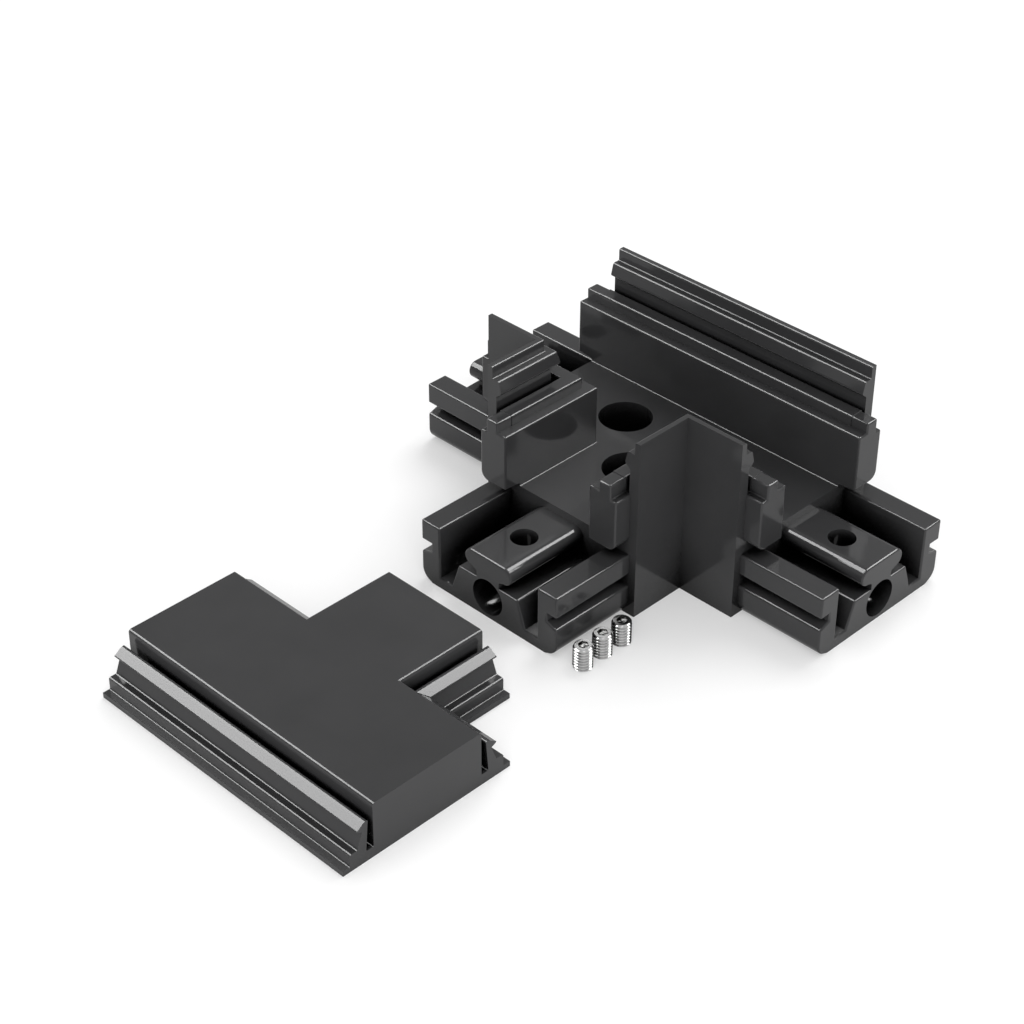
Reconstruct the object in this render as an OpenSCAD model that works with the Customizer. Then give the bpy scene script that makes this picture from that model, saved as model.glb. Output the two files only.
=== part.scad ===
// T connector for square framing profile, shown as it comes: the moulded body with its three
// plug-in arms, its snap-in cover laid face down beside it, and the three set screws.
// The origin is where the centre lines of the three branches cross, on the underside.

/* [Branches] */
// Width of each branch across its outer faces
branch_w = 30; // [28:0.5:36]
// How far each branch runs past the inner corners of the T
branch_run = 10; // [8.5:0.5:20]
// Height from the underside to the tops of the side fins
body_h = 30; // [28.5:0.5:36]
// Height of the flat deck above the tops of the arms
deck_step = 1.2; // [0.6:0.1:2]
// Radius of the round openings in the deck
deck_hole_r = 4.25; // [3:0.25:4.5]
// Distance of each deck opening from the centre
deck_hole_at = 10; // [9.5:0.25:12]

/* [Side walls] */
// Thickness of the upper part of the fin
fin_t = 0.95; // [0.7:0.05:1.2]
// Height of the upper part of the fin
fin_tip_h = 2; // [1.5:0.1:2.5]
// Width of the ledge on top of the snap ridge
ridge_ledge = 1.3; // [1:0.1:1.6]
// Height of the leaning face of the snap ridge
ridge_h = 2; // [1.6:0.1:2.4]
// How far the snap ridge leans in over its height
ridge_lean = 0.5; // [0.3:0.05:0.7]
// Height of the slope under the snap ridge
ridge_under = 0.8; // [0.5:0.1:1.1]
// Thickness of the fin below its snap ridge
fin_low_t = 1.75; // [1.4:0.05:2]
// Width of the groove between the fin and the rib
groove_w = 0.8; // [0.5:0.1:1.2]
// Depth of that groove below the top of the rib
groove_d = 2.4; // [2.2:0.1:4]
// Width of the rib inside the groove
rib_w = 2.45; // [2:0.05:3]
// Depth of the top of the rib below the top of the fin
rib_drop = 6.6; // [6.2:0.1:7.5]
// Width of the shoulder inside the rib
shoulder_w = 1.65; // [1:0.05:2]
// Depth of the shoulder below the top of the rib
shoulder_drop = 1.75; // [1.2:0.05:2]

/* [Wall plugs] */
// How far the plug on each wall end stands out
plug_l = 3; // [2:0.25:5]
// Gap left round the plug's rib
plug_gap = 0.1; // [0.05:0.05:0.2]
// Inset of the plug from the outer face
plug_inset = 1.5; // [1.2:0.1:2]
// Height of the plug's underside above the deck
plug_lift = 0.5; // [0.2:0.1:1.5]
// Radius of the plug's lower outer corner
plug_r = 1.5; // [0.5:0.1:2]

/* [Arms] */
// Length of each arm beyond the body
arm_l = 15; // [13:0.5:30]
// Inset of the arm from the outer face of the branch
arm_inset = 1.25; // [1:0.05:1.8]
// Height of the arm's side walls
arm_h = 10.6; // [10.2:0.1:12]
// Thickness of the arm's side walls
arm_wall = 3.8; // [3.2:0.1:4.2]
// Thickness of the arm's floor
arm_floor = 1.75; // [1.2:0.05:2.2]
// Radius of the arm's lower long edges
arm_r = 2.2; // [1:0.1:3]
// Depth of the groove along each side of the arm
side_groove_d = 2; // [1:0.1:2.4]
// Height of the lower lip of the side groove
side_groove_z = 5; // [4:0.1:5.5]
// Height of the side groove at its mouth
side_groove_h = 2.1; // [1.4:0.1:2.6]
// Fall of the groove's lower face from its back to the lip
side_groove_fall = 0.7; // [0.2:0.1:1]

/* [Clamping block] */
// Width of the block where it meets the arm's floor
block_base_w = 15; // [14:0.25:16]
// Width of the block's shoulders
block_top_w = 12; // [10:0.25:13]
// Height of the block's shoulders
block_h = 6.2; // [6:0.05:6.6]
// Width of the neck between block and head
neck_w = 4.5; // [4.3:0.1:5.5]
// Width of the round-edged head
head_w = 9.4; // [8:0.1:11]
// Thickness of the head
head_t = 3; // [2.4:0.1:3.4]
// Depth of the head's top below the tops of the arm walls
head_drop = 0.1; // [0:0.05:0.4]
// Radius of the hollow corner between neck and head
neck_r = 0.5; // [0.2:0.05:0.6]
// Radius of the threaded bore through the head
screw_bore_r = 2.1; // [1.6:0.05:2.1]
// Distance of the threaded bore from the arm's end face
screw_bore_at = 7.5; // [5:0.25:8]
// Radius of the bore in the arm's end face
end_bore_r = 3; // [2:0.1:3]
// Height of the end bore's centre line
end_bore_z = 3.6; // [3.5:0.05:3.9]
// Depth of the end bore
end_bore_l = 11.5; // [10.5:0.25:12.5]

/* [Cover] */
// Thickness of the cover's edge, which rests on the fins
cover_edge = 0.85; // [0.6:0.05:1.5]
// Gap between the cover's steps and the fins
cover_gap = 0.3; // [0.1:0.05:0.4]
// Gap between the cover's block and the ribs
block_gap = 0.35; // [0.2:0.05:0.6]
// Gap between the cover's block and the wall shoulders under it
block_rise = 0.2; // [0.1:0.05:0.6]
// Thickness of the cover left under its clip slots
slot_floor = 1.75; // [1.2:0.05:2.5]
// Gap between the tip of the clips and the tops of the ribs
clip_gap = 0.6; // [0.3:0.05:1]
// How far the clips reach out under the snap ridges
clip_bite = 0.3; // [0.1:0.05:0.5]
// How far the clips sit below the snap ridges
clip_drop = 1; // [0.7:0.05:1.2]
// Thickness of the clip at its root
clip_root_t = 1.5; // [1.2:0.05:1.8]
// Width of the slope that leads the clip in
clip_lead = 1.45; // [1.2:0.05:1.6]
// Width of the flat tip of the clip
clip_tip_t = 0.6; // [0.4:0.05:0.8]
// Depth of the hollow behind the clip's nose
clip_hook = 1.05; // [0.8:0.05:1.2]
// Fall of the underside of the clip's nose
clip_fall = 0.5; // [0.3:0.05:0.8]
// Radius of the edge round the top of the cover's block
block_r = 0.45; // [0.2:0.05:0.6]
// Where the cover lies, left or right of the body
cover_x = 0.2; // [-20:0.1:20]
// Gap between the cover's stem and the end of the body's stem arm
cover_apart = 10.7; // [4:0.1:40]

/* [Set screws] */
// Nominal thread diameter of the set screws
screw_d = 3; // [2.5:0.5:4]
// Length of the set screws
screw_l = 4; // [3:0.5:6]
// Width of the hexagonal socket across its flats
socket_w = 1.5; // [1.2:0.1:1.6]
// Depth of the hexagonal socket
socket_l = 1.6; // [1:0.1:2]
// Chamfer at both ends of the set screws
screw_chamfer = 0.3; // [0.15:0.05:0.4]
// Gap between the stem arm and the centre line of the row of set screws
screw_row_gap = 3.85; // [2.5:0.05:8]
// Spacing of the set screws
screw_pitch = 4; // [4:0.25:8]
// Distance of the last set screw from the end of the stem arm
screw_end_gap = 1.5; // [0:0.25:6]

/* [Hidden] */
$fn = 64;
// Half the width of a branch and the reach of its end from the centre
half_w = branch_w / 2;
reach = half_w + branch_run;
arm_end = reach + arm_l;
deck_z = arm_h + deck_step;
// Depths into the side wall, measured from its outer face
ledge_in = fin_t + ridge_ledge;
ridge_in = ledge_in + ridge_lean;
rib_out = fin_low_t + groove_w;
rib_in = rib_out + rib_w;
wall_t = rib_in + shoulder_w;
// Heights on the side wall
ledge_z = body_h - fin_tip_h;
ridge_z = ledge_z - ridge_h;
rib_z = body_h - rib_drop;
shoulder_z = rib_z - shoulder_drop;
// Arm sizes
arm_half = half_w - arm_inset;
head_top = arm_h - head_drop;
// Cover sizes, measured up from its outer face as it lies
step_in = fin_t + cover_gap;
neck_in = ledge_in + cover_gap;
step_z = cover_edge + fin_tip_h;
clip_lip_z = cover_edge + fin_tip_h + ridge_h + clip_drop;
clip_lip_in = ridge_in - clip_bite;
clip_top_z = cover_edge + rib_drop - clip_gap;
clip_back_in = clip_lip_in + clip_lead + clip_tip_t;
block_in = rib_in + block_gap;
block_z = cover_edge + body_h - shoulder_z - block_rise;
cover_y = -(arm_end + cover_apart + reach);
// Each shape is sunk this far into the one that it joins
lap = 1;
core_lap = 0.25;

// The T in plan, with its stem towards -Y
module t_plan(inset = 0) {
    translate([-reach, -half_w + inset])
        square([2 * reach, branch_w - 2 * inset]);
    translate([-half_w + inset, -reach])
        square([branch_w - 2 * inset, reach]);
}

// A section drawn as [depth from the outer face, height], run along +X from the origin
module run_x(length) {
    rotate([90, 0, 90])
        linear_extrude(height = length)
            children();
}

// One leg of a wall at an inner corner of the T, cut to its mitre
module mitred_leg(depth, height) {
    intersection() {
        translate([-depth, 0, 0])
            run_x(depth + branch_run)
                children();
        linear_extrude(height = height)
            polygon([[0, 0], [branch_run, 0], [branch_run, depth], [-depth, depth]]);
    }
}

// Both legs of a wall at the inner corner on the +X side of the stem
module corner_wall(depth, height) {
    translate([half_w, -half_w, 0]) {
        mitred_leg(depth, height)
            children();
        mirror([1, 1, 0])
            mitred_leg(depth, height)
                children();
    }
}

// All the walls of the T: the long one and the two at the inner corners
module all_walls(depth, height) {
    translate([-reach, half_w, 0])
        mirror([0, 1, 0])
            run_x(2 * reach)
                children();
    corner_wall(depth, height)
        children();
    mirror([1, 0, 0])
        corner_wall(depth, height)
            children();
}

// Side wall with its shoulder, rib, groove, snap ridge and fin
module wall_section() {
    polygon([
        [0, 0],
        [wall_t, 0],
        [wall_t, shoulder_z],
        [rib_in, shoulder_z],
        [rib_in, rib_z],
        [rib_out, rib_z],
        [rib_out, rib_z - groove_d],
        [fin_low_t, rib_z - groove_d],
        [fin_low_t, ridge_z - ridge_under],
        [ridge_in, ridge_z],
        [ledge_in, ledge_z],
        [fin_t, ledge_z],
        [fin_t, body_h],
        [0, body_h]
    ]);
}

// The wall's plug, a little smaller than the rib and shoulders, round at its lower outer corner
module plug_section() {
    low = deck_z + plug_lift;
    outer_shoulder_z = rib_z - groove_d - plug_gap;
    translate([plug_inset, low + plug_r])
        square([wall_t - plug_inset, outer_shoulder_z - low - plug_r]);
    translate([plug_inset + plug_r, low])
        square([wall_t - plug_inset - plug_r, plug_r + lap]);
    translate([plug_inset + plug_r, low + plug_r])
        circle(r = plug_r);
    translate([rib_out + plug_gap, outer_shoulder_z - lap])
        square([wall_t - rib_out - plug_gap, shoulder_z - outer_shoulder_z + lap]);
    translate([rib_out + plug_gap, shoulder_z - lap])
        square([rib_w - 2 * plug_gap, shoulder_drop - plug_gap + lap]);
}

// The two plugs at the end of the branch that points along +X
module branch_plugs() {
    for (side = [0, 1])
        mirror([0, side, 0])
            translate([reach - lap, -half_w, 0])
                run_x(plug_l + lap)
                    plug_section();
}

// Channel-shaped arm with a groove along each side and the clamping block in its middle
module arm_section() {
    difference() {
        union() {
            translate([-arm_half, arm_r])
                square([2 * arm_half, arm_h - arm_r]);
            translate([-arm_half + arm_r, 0])
                square([2 * (arm_half - arm_r), arm_h]);
            for (side = [-1, 1])
                translate([side * (arm_half - arm_r), arm_r])
                    circle(r = arm_r);
        }
        translate([-arm_half + arm_wall, arm_floor])
            square([2 * (arm_half - arm_wall), arm_h]);
        for (side = [0, 1])
            mirror([side, 0])
                side_groove();
    }
    clamping_block_section();
}

// Groove along the outer side of an arm wall, with a lower face that falls to its lip
module side_groove() {
    top = side_groove_z + side_groove_h;
    polygon([
        [arm_half + lap, side_groove_z],
        [arm_half, side_groove_z],
        [arm_half - side_groove_d, side_groove_z + side_groove_fall],
        [arm_half - side_groove_d, top],
        [arm_half + lap, top]
    ]);
}

// Tapered block, neck and round-edged head
module clamping_block_section() {
    head_r = head_t / 2;
    head_low = head_top - head_t;
    polygon([
        [-block_base_w / 2, arm_floor / 2],
        [block_base_w / 2, arm_floor / 2],
        [block_base_w / 2, arm_floor],
        [block_top_w / 2, block_h],
        [-block_top_w / 2, block_h],
        [-block_base_w / 2, arm_floor]
    ]);
    translate([-neck_w / 2, arm_floor])
        square([neck_w, head_top - arm_floor - head_r]);
    translate([-head_w / 2 + head_r, head_low])
        square([head_w - head_t, head_t]);
    for (side = [-1, 1])
        translate([side * (head_w / 2 - head_r), head_low + head_r])
            circle(r = head_r);
    for (side = [0, 1])
        mirror([side, 0])
            difference() {
                translate([neck_w / 2 - neck_r, head_low - neck_r])
                    square([2 * neck_r, 2 * neck_r]);
                translate([neck_w / 2 + neck_r, head_low - neck_r])
                    circle(r = neck_r);
            }
}

// One arm, pointing along +X
module arm() {
    translate([reach - lap, 0, 0])
        run_x(arm_l + lap)
            arm_section();
}

// The threaded bore down through the head and the bore in the end face, on the +X arm
module arm_bores() {
    translate([arm_end - screw_bore_at, 0, end_bore_z])
        cylinder(r = screw_bore_r, h = arm_h);
    translate([arm_end - end_bore_l, 0, end_bore_z])
        rotate([0, 90, 0])
            cylinder(r = end_bore_r, h = end_bore_l + lap);
}

// Repeats its children on the three branches
module on_each_branch() {
    for (turn = [0, -90, 180])
        rotate([0, 0, turn])
            children();
}

// Moulded body: T-shaped deck inside profiled walls, wall plugs and three arms
module connector_body() {
    color([0.13, 0.13, 0.14])
        difference() {
            union() {
                linear_extrude(height = deck_z)
                    t_plan();
                all_walls(wall_t, body_h)
                    wall_section();
                on_each_branch()
                    arm();
                on_each_branch()
                    branch_plugs();
            }
            on_each_branch() {
                arm_bores();
                translate([deck_hole_at, 0, -lap])
                    cylinder(r = deck_hole_r, h = deck_z + 2 * lap);
            }
        }
}

// Cover edge, clip, slot and the side of the block, up from the cover's outer face
module cover_section() {
    polygon([
        [0, 0],
        [wall_t, 0],
        [wall_t, block_z],
        [block_in + block_r, block_z],
        [block_in, block_z - block_r],
        [block_in, slot_floor],
        [neck_in + clip_root_t, slot_floor],
        [clip_back_in, clip_top_z],
        [clip_lip_in + clip_lead, clip_top_z],
        [clip_lip_in, clip_lip_z],
        [clip_lip_in + clip_hook, clip_lip_z - clip_fall],
        [neck_in, step_z],
        [step_in, step_z],
        [step_in, cover_edge],
        [0, cover_edge]
    ]);
    translate([block_in + block_r, block_z - block_r])
        circle(r = block_r);
}

// Snap-in cover lying on its outer face, its stem towards the body
module cover() {
    color([0.15, 0.15, 0.16])
        translate([cover_x, cover_y, 0])
            mirror([0, 1, 0]) {
                linear_extrude(height = cover_edge)
                    t_plan();
                linear_extrude(height = block_z)
                    t_plan(wall_t - core_lap);
                all_walls(wall_t, block_z)
                    cover_section();
            }
}

// Set screw with a hexagonal socket, standing on its flat point
module set_screw() {
    difference() {
        union() {
            translate([0, 0, screw_chamfer])
                cylinder(d = screw_d, h = screw_l - 2 * screw_chamfer);
            cylinder(d1 = screw_d - 2 * screw_chamfer, d2 = screw_d, h = screw_chamfer);
            translate([0, 0, screw_l - screw_chamfer])
                cylinder(d1 = screw_d, d2 = screw_d - 2 * screw_chamfer, h = screw_chamfer);
        }
        translate([0, 0, screw_l - socket_l])
            cylinder(d = socket_w / cos(30), h = socket_l + lap, $fn = 6);
    }
}

// The row of three set screws beside the stem arm
module set_screws() {
    color([0.75, 0.75, 0.77])
        for (i = [0:2])
            translate([arm_half + screw_row_gap, -arm_end + screw_end_gap + i * screw_pitch, 0])
                set_screw();
}

connector_body();
cover();
set_screws();
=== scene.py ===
"""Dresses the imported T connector: moulded edges, black plastic, threaded screws, a pale studio."""
import math
from collections import namedtuple

import bmesh
import bpy
from mathutils import Matrix, Vector


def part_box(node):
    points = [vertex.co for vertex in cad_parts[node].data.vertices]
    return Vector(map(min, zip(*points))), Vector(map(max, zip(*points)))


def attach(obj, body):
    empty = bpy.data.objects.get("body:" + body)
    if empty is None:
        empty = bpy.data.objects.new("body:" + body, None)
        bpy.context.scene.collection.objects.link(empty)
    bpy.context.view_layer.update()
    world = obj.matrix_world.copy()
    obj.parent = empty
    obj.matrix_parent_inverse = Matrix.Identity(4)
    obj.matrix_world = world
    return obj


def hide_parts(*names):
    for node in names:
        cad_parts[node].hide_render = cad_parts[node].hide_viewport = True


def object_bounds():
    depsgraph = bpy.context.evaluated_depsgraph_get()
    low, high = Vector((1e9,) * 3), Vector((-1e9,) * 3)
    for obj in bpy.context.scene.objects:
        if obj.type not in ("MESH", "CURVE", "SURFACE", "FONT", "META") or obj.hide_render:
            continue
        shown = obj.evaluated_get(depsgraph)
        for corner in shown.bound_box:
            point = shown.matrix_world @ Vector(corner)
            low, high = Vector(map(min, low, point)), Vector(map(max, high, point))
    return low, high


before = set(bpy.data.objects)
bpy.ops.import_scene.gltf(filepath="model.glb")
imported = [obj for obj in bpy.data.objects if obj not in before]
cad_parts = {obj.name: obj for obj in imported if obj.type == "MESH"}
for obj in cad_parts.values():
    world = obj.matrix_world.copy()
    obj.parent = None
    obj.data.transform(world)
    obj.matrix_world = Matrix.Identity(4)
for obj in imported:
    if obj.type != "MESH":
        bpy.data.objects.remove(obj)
cad_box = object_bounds()
middle = (cad_box[0] + cad_box[1]) / 2

MM = 0.001
BODY = "root"

# Camera, solved from the photo's straight edges: it looks down on the inner corner of the T
IMAGE_PX = 1024
FOCAL_PX = 2360.1
CENTRE_PX = (485.4, 487.3)
SENSOR = 36
CAMERA_AZIMUTH = math.radians(-44.522)
CAMERA_ELEVATION = math.radians(34.708)
CAMERA_ROLL = math.radians(-0.214)
CAMERA_DISTANCE = 370.565 * MM
CAMERA_TARGET = Vector((-23.814, -16.926, 0)) * MM
CAMERA_NEAR = 0.01
CAMERA_FAR = 20

# Studio: a pale floor, of which a share glows when it is seen directly, in a pale world
FLOOR_SIZE = 6
FLOOR_DROP = 0.02 * MM
FLOOR_COLOUR = (0.95, 0.95, 0.95, 1)
FLOOR_GLOW = 0.3
WORLD_LEVEL = 0.7
WHITE = (1, 1, 1, 1)

# Each lamp: the direction in which the object sees it, its distance, its width and its radiance
Lamp = namedtuple("Lamp", "towards distance width radiance")
# Two soft boxes that light everything and aren't reflected
SOFT_BOXES = [
    Lamp(Vector((-0.15, 0.6, 0.8)), 1.2, 0.8, 3.4),
    Lamp(Vector((0.6, -0.6, 0.4)), 1.2, 0.9, 3),
]
# Two panels that are only reflected: the rounded edges along x show the first, those along y
# the second. Steel shows them smaller and weaker, and a ceiling as well
PANELS = [
    Lamp(Vector((-0.6, -0.25, 0.77)), 1, 0.7, 20),
    Lamp(Vector((0.25, 0.6, 0.77)), 1, 0.7, 20),
]
PANEL_WIDTH_ON_STEEL = 0.5
CEILING_HEIGHT = 2
CEILING_WIDTH_ON_STEEL = 0.9
RADIANCE_ON_STEEL = 4

# Black plastic: its darkest and lightest tones, its gloss and its grain
BODY_TONES = ((0.033, 0.033, 0.034), (0.038, 0.038, 0.039))
COVER_TONES = ((0.034, 0.034, 0.035), (0.039, 0.039, 0.04))
PLASTIC_ROUGHNESS = (0.1, 0.12)
PLASTIC_IOR = 1.3
GRAIN_STRENGTH = 0.02
GRAIN_HEIGHT = 0.02 * MM

# Plated steel: its tones and its gloss
STEEL_TONES = ((0.5, 0.5, 0.5), (0.6, 0.6, 0.595))
STEEL_ROUGHNESS = (0.08, 0.16)

# Noise scales of the marks in tone and gloss and of the grain, and the noise values in use
PLASTIC_TONE_SCALE = 90
PLASTIC_GLOSS_SCALE = 160
GRAIN_SCALE = 1400
STEEL_TONE_SCALE = 900
STEEL_GLOSS_SCALE = 2500
NOISE_DETAIL = 3
NOISE_LOW = 0.3
NOISE_HIGH = 0.7

# Shade painted into narrow cavities: how far away a wall still shades, the openness at which it is
# darkest and from which a surface has its full tone, and the share of the tone left where it is
# darkest
CAVITY_REACH = 14 * MM
CAVITY_DARK = 0.25
CAVITY_CLEAR = 0.52
CAVITY_SHARE = 0.03
CAVITY_SAMPLES = 8

# Moulded edges: their full radius, the share of it on hollow edges, the share of the room
# beside an edge that its rounding may take, and the places along the edge where that is measured
EDGE_RADIUS = 0.26 * MM
EDGE_STEPS = 3
HOLLOW_SHARE = 0.6
ROOM_SHARE = 0.45
ROOM_PLACES = (0.1, 0.3, 0.5, 0.7, 0.9)
# Heights on the body: the deck, below which hollow edges stay sharp, and the wall's shoulder,
# where they stay sharp too
DECK_HEIGHT = 11.8 * MM
SHOULDER_HEIGHT = 21.65 * MM
# The angle from which an edge is a corner, and the one below which two faces are one plane
SHARP = math.radians(32)
FLAT = math.radians(0.5)
# The distance below which two points are one, and the one that counts as nothing
WELD = 0.001 * MM
TINY = 0.0001 * MM
# How far the large faces outweigh the roundings in the shading
NORMAL_WEIGHT = 100

# Set screws: M3, with a chamfer at both ends, a hexagon socket and a hollow foot. THREAD_FLAT is
# the share of the half pitch that is level, once on the crest and once in the groove, and
# THREAD_STEPS the number of rings to a pitch
SCREW_COUNT = 3
SCREW_SIDES = 60
SCREW_CHAMFER = 0.25 * MM
THREAD_PITCH = 0.5 * MM
THREAD_DEPTH = 0.3 * MM
THREAD_FLAT = 0.12
THREAD_STEPS = 12
SOCKET_WIDTH = 1.5 * MM
SOCKET_DEPTH = 1.6 * MM
SOCKET_TIP = 0.35 * MM
FOOT_HOLLOW = 0.25 * MM


def placed(name, data):
    """A new object in the scene."""
    holder = bpy.data.objects.new(name, data)
    bpy.context.scene.collection.objects.link(holder)
    return holder


def add_node(tree, kind, **inputs):
    """A shader node with the given input values."""
    node = tree.nodes.new(kind)
    for name, value in inputs.items():
        node.inputs[name.replace("_", " ")].default_value = value
    return node


def new_material(name):
    """An empty node material, its tree and its Principled shader."""
    material = bpy.data.materials.new(name)
    material.use_nodes = True
    return material, material.node_tree, material.node_tree.nodes["Principled BSDF"]


def varied(tree, scale, low, high):
    """A noise pattern in object space, spread to run from low to high."""
    place = tree.nodes.new("ShaderNodeTexCoord")
    noise = add_node(tree, "ShaderNodeTexNoise", Scale=scale, Detail=NOISE_DETAIL)
    spread = add_node(
        tree, "ShaderNodeMapRange",
        From_Min=NOISE_LOW, From_Max=NOISE_HIGH, To_Min=low, To_Max=high,
    )
    tree.links.new(place.outputs["Object"], noise.inputs["Vector"])
    tree.links.new(noise.outputs["Fac"], spread.inputs["Value"])
    return spread.outputs["Result"]


def varied_tone(tree, scale, tones):
    """A colour that runs between two tones in a noise pattern."""
    shade = tree.nodes.new("ShaderNodeMix")
    shade.data_type = "RGBA"
    shade.inputs["A"].default_value = (*tones[0], 1)
    shade.inputs["B"].default_value = (*tones[1], 1)
    tree.links.new(varied(tree, scale, 0, 1), shade.inputs["Factor"])
    return shade.outputs["Result"]


def painted_cavity_shade(tree, tone):
    """Painted shade: the tone, brought down towards black where the surface lies deep in a narrow
    cavity.
    """
    depth = add_node(tree, "ShaderNodeAmbientOcclusion", Distance=CAVITY_REACH)
    depth.samples = CAVITY_SAMPLES
    openness = add_node(
        tree, "ShaderNodeMapRange",
        From_Min=CAVITY_DARK, From_Max=CAVITY_CLEAR, To_Min=CAVITY_SHARE,
    )
    shaded = tree.nodes.new("ShaderNodeMix")
    shaded.data_type = "RGBA"
    shaded.inputs["A"].default_value = (0, 0, 0, 1)
    tree.links.new(depth.outputs["AO"], openness.inputs["Value"])
    tree.links.new(tone, shaded.inputs["B"])
    tree.links.new(openness.outputs["Result"], shaded.inputs["Factor"])
    return shaded.outputs["Result"]


def black_plastic(name, tones):
    """Glossy moulded black plastic: faint flow marks in tone and gloss, a very fine grain, and shade
    painted into narrow cavities.
    """
    material, tree, shader = new_material(name)
    # The base colour carries shade painted into narrow cavities
    tone = painted_cavity_shade(tree, varied_tone(tree, PLASTIC_TONE_SCALE, tones))
    gloss = varied(tree, PLASTIC_GLOSS_SCALE, *PLASTIC_ROUGHNESS)
    grain = add_node(tree, "ShaderNodeBump", Strength=GRAIN_STRENGTH, Distance=GRAIN_HEIGHT)
    tree.links.new(varied(tree, GRAIN_SCALE, 0, 1), grain.inputs["Height"])
    tree.links.new(tone, shader.inputs["Base Color"])
    tree.links.new(gloss, shader.inputs["Roughness"])
    tree.links.new(grain.outputs["Normal"], shader.inputs["Normal"])
    shader.inputs["IOR"].default_value = PLASTIC_IOR
    return material


def bright_steel(name):
    """Plated steel with the fine marks of turning."""
    material, tree, shader = new_material(name)
    shader.inputs["Metallic"].default_value = 1
    tone = varied_tone(tree, STEEL_TONE_SCALE, STEEL_TONES)
    gloss = varied(tree, STEEL_GLOSS_SCALE, *STEEL_ROUGHNESS)
    tree.links.new(tone, shader.inputs["Base Color"])
    tree.links.new(gloss, shader.inputs["Roughness"])
    return material


def smooth_but_for_corners(shape):
    """Smooth faces, with a sharp edge wherever two of them meet at an angle."""
    for face in shape.faces:
        face.smooth = True
    for edge in shape.edges:
        edge.smooth = edge.calc_face_angle(0) < SHARP


def crossing(start, towards, low, high, normal):
    """How far along a line in a flat face one of the face's edges is met, or None."""
    side = normal.cross(towards)
    a, b = (low - start).dot(side), (high - start).dot(side)
    if a * b > 0 or abs(a - b) < TINY:
        return None
    away = (low + (high - low) * a / (a - b) - start).dot(towards)
    return away if away > TINY else None


def room_beside(edge, face):
    """How far the face reaches in from its edge, at the narrowest of a few places."""
    low, high = (v.co for v in edge.verts)
    towards = face.normal.cross(high - low).normalized()
    loop = next(l for l in face.loops if l.edge is edge)
    if loop.vert.co != low:
        towards.negate()
    found = []
    for share in ROOM_PLACES:
        start = low.lerp(high, share)
        for other in face.edges:
            if other is not edge:
                ends = (v.co for v in other.verts)
                found.append(crossing(start, towards, *ends, face.normal))
    return min((away for away in found if away is not None), default=0)


def stays_sharp(face, top):
    """Whether a face on the floor keeps sharp edges: plain outer faces, holes and cut ends."""
    heights = [v.co.z for v in face.verts]
    return min(heights) < WELD and (len(heights) == 4 or max(heights) > top - WELD)


def is_hollow_round(face):
    """Whether a face is one strip of a bore's or a neck's hollow round wall."""
    return any(
        len(edge.link_faces) == 2
        and not edge.is_convex
        and FLAT < edge.calc_face_angle(0) < SHARP
        for edge in face.edges
    )


def rounding_share(edge, top, hollows_from):
    """The share of the full edge radius that an edge gets, 0 where it stays sharp."""
    if len(edge.link_faces) != 2 or edge.calc_face_angle(0) < SHARP:
        return 0
    if any(is_hollow_round(face) or stays_sharp(face, top) for face in edge.link_faces):
        return 0
    heights = [v.co.z for v in edge.verts]
    if max(heights) < WELD:
        return 0
    if not edge.is_convex:
        on_shoulder = all(abs(z - SHOULDER_HEIGHT) < WELD for z in heights)
        if on_shoulder or min(heights) < hollows_from - WELD:
            return 0
    room = min(room_beside(edge, face) for face in edge.link_faces)
    return min(1 if edge.is_convex else HOLLOW_SHARE, ROOM_SHARE * room / EDGE_RADIUS)


def moulded(node, name, material, hollows_from):
    """The node's own form as one clean mesh, with rounded edges, hollow ones from a height up."""
    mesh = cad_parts[node].data.copy()
    mesh.name = name
    shape = bmesh.new()
    shape.from_mesh(mesh)
    bmesh.ops.remove_doubles(shape, verts=shape.verts, dist=WELD)
    bmesh.ops.dissolve_limit(shape, angle_limit=FLAT, verts=shape.verts, edges=shape.edges)
    smooth_but_for_corners(shape)
    weights = shape.edges.layers.float.new("bevel_weight_edge")
    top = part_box(node)[1].z
    for edge in shape.edges:
        edge[weights] = rounding_share(edge, top, hollows_from)
    shape.to_mesh(mesh)
    shape.free()
    mesh.materials.clear()
    mesh.materials.append(material)
    piece = placed(name, mesh)
    rounding = piece.modifiers.new("rounding", "BEVEL")
    rounding.width = EDGE_RADIUS
    rounding.segments = EDGE_STEPS
    rounding.limit_method = "WEIGHT"
    rounding.use_clamp_overlap = False
    rounding.loop_slide = False
    flatness = piece.modifiers.new("flat faces", "WEIGHTED_NORMAL")
    flatness.weight = NORMAL_WEIGHT
    flatness.keep_sharp = True
    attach(piece, BODY)
    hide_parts(node)
    return piece


def thread_radius(turn, z, radius, length):
    """Radius of the screw's side at a height, where turn is the share of one turn round it."""
    phase = (z / THREAD_PITCH - turn) % 1
    from_crest = abs(2 * phase - 1)
    sunk = min(1, max(0, (from_crest - THREAD_FLAT) / (1 - 2 * THREAD_FLAT)))
    end_cut = max(0, SCREW_CHAMFER - min(z, length - z))
    return min(radius - THREAD_DEPTH * sunk, radius - end_cut)


def ring(shape, centre, z, radii):
    """One ring of vertices round a screw's axis."""
    corners = []
    for k, radius in enumerate(radii):
        angle = 2 * math.pi * k / SCREW_SIDES
        x = centre.x + radius * math.cos(angle)
        y = centre.y + radius * math.sin(angle)
        corners.append(shape.verts.new((x, y, z)))
    return corners


def socket_radius(turn):
    """How far the wall of the hexagon socket lies from the axis."""
    off = (2 * math.pi * turn + math.pi / 6) % (math.pi / 3) - math.pi / 6
    return SOCKET_WIDTH / 2 / math.cos(off)


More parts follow.
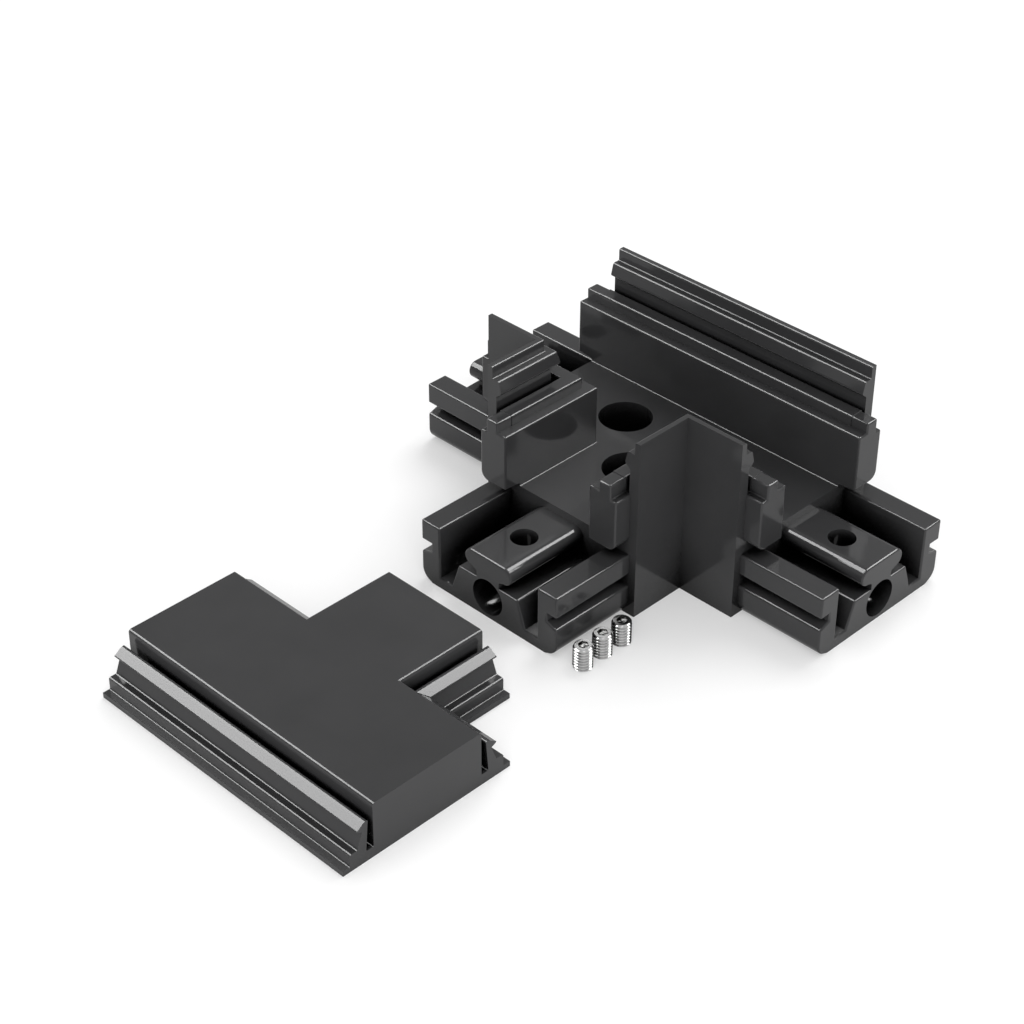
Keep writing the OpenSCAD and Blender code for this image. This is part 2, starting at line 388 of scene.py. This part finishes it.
def set_screw_shape(shape, centre, radius, length):
    """One threaded set screw with a hexagon socket, added to a bmesh."""
    turns = [k / SCREW_SIDES for k in range(SCREW_SIDES)]
    steps_up = int(round(length / THREAD_PITCH)) * THREAD_STEPS
    rings = []
    for i in range(steps_up + 1):
        z = length * i / steps_up
        side = [thread_radius(turn, z, radius, length) for turn in turns]
        rings.append(ring(shape, centre, z, side))
    for z in (length, length - SOCKET_DEPTH):
        rings.append(ring(shape, centre, z, [socket_radius(turn) for turn in turns]))
    for lower, upper in zip(rings, rings[1:]):
        for k in range(SCREW_SIDES):
            n = (k + 1) % SCREW_SIDES
            shape.faces.new((lower[k], lower[n], upper[n], upper[k]))
    tip = shape.verts.new((centre.x, centre.y, length - SOCKET_DEPTH - SOCKET_TIP))
    foot = shape.verts.new((centre.x, centre.y, FOOT_HOLLOW))
    for k in range(SCREW_SIDES):
        n = (k + 1) % SCREW_SIDES
        shape.faces.new((rings[-1][k], rings[-1][n], tip))
        shape.faces.new((rings[0][n], rings[0][k], foot))


def set_screws(material):
    """The three set screws, each where its solid stands."""
    low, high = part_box("set_screws")
    radius = (high.x - low.x) / 2
    length = high.z
    first = low.y + radius
    spacing = (high.y - low.y - 2 * radius) / (SCREW_COUNT - 1)
    shape = bmesh.new()
    for i in range(SCREW_COUNT):
        centre = Vector((low.x + radius, first + i * spacing, 0))
        set_screw_shape(shape, centre, radius, length)
    bmesh.ops.recalc_face_normals(shape, faces=shape.faces)
    smooth_but_for_corners(shape)
    mesh = bpy.data.meshes.new("threaded_set_screws")
    shape.to_mesh(mesh)
    shape.free()
    mesh.materials.append(material)
    piece = placed("threaded_set_screws", mesh)
    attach(piece, BODY)
    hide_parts("set_screws")
    return piece


def seen_directly(tree):
    """1 for rays from the camera, off mirrors or through glass, and 0 for others."""
    path = tree.nodes.new("ShaderNodeLightPath")
    reach = path.outputs["Is Camera Ray"]
    for name in ("Is Glossy Ray", "Is Transmission Ray"):
        either = tree.nodes.new("ShaderNodeMath")
        either.operation = "MAXIMUM"
        tree.links.new(reach, either.inputs[0])
        tree.links.new(path.outputs[name], either.inputs[1])
        reach = either.outputs[0]
    return reach


def floor():
    """A plain pale floor, white to the camera but for the shadow on it."""
    mesh = bpy.data.meshes.new("floor")
    half = FLOOR_SIZE / 2
    corners = [(-half, -half), (half, -half), (half, half), (-half, half)]
    mesh.from_pydata([(x, y, -FLOOR_DROP) for x, y in corners], [], [(0, 1, 2, 3)])
    material, tree, shader = new_material("floor_white")
    tree.nodes.remove(shader)
    matt = add_node(tree, "ShaderNodeBsdfDiffuse", Color=FLOOR_COLOUR)
    glow = add_node(tree, "ShaderNodeEmission", Color=WHITE, Strength=1)
    blend = tree.nodes.new("ShaderNodeMixShader")
    share = tree.nodes.new("ShaderNodeMath")
    share.operation = "MULTIPLY"
    share.inputs[1].default_value = FLOOR_GLOW
    tree.links.new(seen_directly(tree), share.inputs[0])
    tree.links.new(share.outputs[0], blend.inputs["Fac"])
    tree.links.new(matt.outputs[0], blend.inputs[1])
    tree.links.new(glow.outputs[0], blend.inputs[2])
    tree.links.new(blend.outputs[0], tree.nodes["Material Output"].inputs["Surface"])
    mesh.materials.append(material)
    ground = placed("floor", mesh)


def area_lamp(name, shape, width, radiance, place):
    """An area lamp of an even radiance that faces the middle of the object."""
    data = bpy.data.lights.new(name, "AREA")
    data.shape = shape
    data.size = width
    area = width**2 if shape == "SQUARE" else math.pi * width**2 / 4
    data.energy = radiance * math.pi * area
    holder = placed(name, data)
    holder.location = place
    holder.rotation_euler = (place - middle).to_track_quat("Z", "Y").to_euler()
    return holder


def shine_only_on(holder, pieces):
    """Limits a lamp to what the given pieces reflect."""
    group = bpy.data.collections.new(holder.name)
    for piece in pieces:
        group.objects.link(piece)
    holder.light_linking.receiver_collection = group
    holder.visible_diffuse = False


def studio_light(plastic, steel):
    """A pale world, two soft boxes, and bright panels that show only in what is glossy."""
    world = bpy.data.worlds.new("studio")
    world.use_nodes = True
    backdrop = world.node_tree.nodes["Background"]
    backdrop.inputs["Color"].default_value = WHITE
    backdrop.inputs["Strength"].default_value = WORLD_LEVEL
    bpy.context.scene.world = world
    above = middle + Vector((0, 0, CEILING_HEIGHT))
    ceiling = area_lamp("ceiling", "DISK", CEILING_WIDTH_ON_STEEL, RADIANCE_ON_STEEL, above)
    shine_only_on(ceiling, steel)
    for panel in PANELS:
        place = middle + panel.towards.normalized() * panel.distance
        for pieces, width, radiance in (
            (plastic, panel.width, panel.radiance),
            (steel, PANEL_WIDTH_ON_STEEL, RADIANCE_ON_STEEL),
        ):
            shine_only_on(area_lamp("panel", "SQUARE", width, radiance, place), pieces)
    for box in SOFT_BOXES:
        place = middle + box.towards.normalized() * box.distance
        area_lamp("softbox", "SQUARE", box.width, box.radiance, place).visible_glossy = False


def camera():
    """The photo's own viewpoint."""
    towards = Vector((
        math.cos(CAMERA_ELEVATION) * math.cos(CAMERA_AZIMUTH),
        math.cos(CAMERA_ELEVATION) * math.sin(CAMERA_AZIMUTH),
        math.sin(CAMERA_ELEVATION),
    ))
    level_right = (-towards).cross(Vector((0, 0, 1))).normalized()
    level_up = level_right.cross(-towards)
    right = level_right * math.cos(CAMERA_ROLL) + level_up * math.sin(CAMERA_ROLL)
    up = level_up * math.cos(CAMERA_ROLL) - level_right * math.sin(CAMERA_ROLL)
    data = bpy.data.cameras.new("camera")
    data.sensor_width = SENSOR
    data.lens = FOCAL_PX / IMAGE_PX * SENSOR
    data.shift_x = (IMAGE_PX / 2 - CENTRE_PX[0]) / IMAGE_PX
    data.shift_y = (CENTRE_PX[1] - IMAGE_PX / 2) / IMAGE_PX
    data.clip_start = CAMERA_NEAR
    data.clip_end = CAMERA_FAR
    holder = placed("camera", data)
    turn = Matrix((right, up, towards)).transposed().to_4x4()
    holder.matrix_world = Matrix.Translation(CAMERA_TARGET + towards * CAMERA_DISTANCE) @ turn
    bpy.context.scene.camera = holder


camera()
floor()
bpy.context.scene.view_settings.view_transform = "Standard"
body_black = black_plastic("body_black", BODY_TONES)
cover_black = black_plastic("cover_black", COVER_TONES)
body = moulded("connector_body", "moulded_body", body_black, DECK_HEIGHT)
cover = moulded("cover", "moulded_cover", cover_black, 0)
screws = set_screws(bright_steel("screw_steel"))
studio_light([body, cover], [screws])
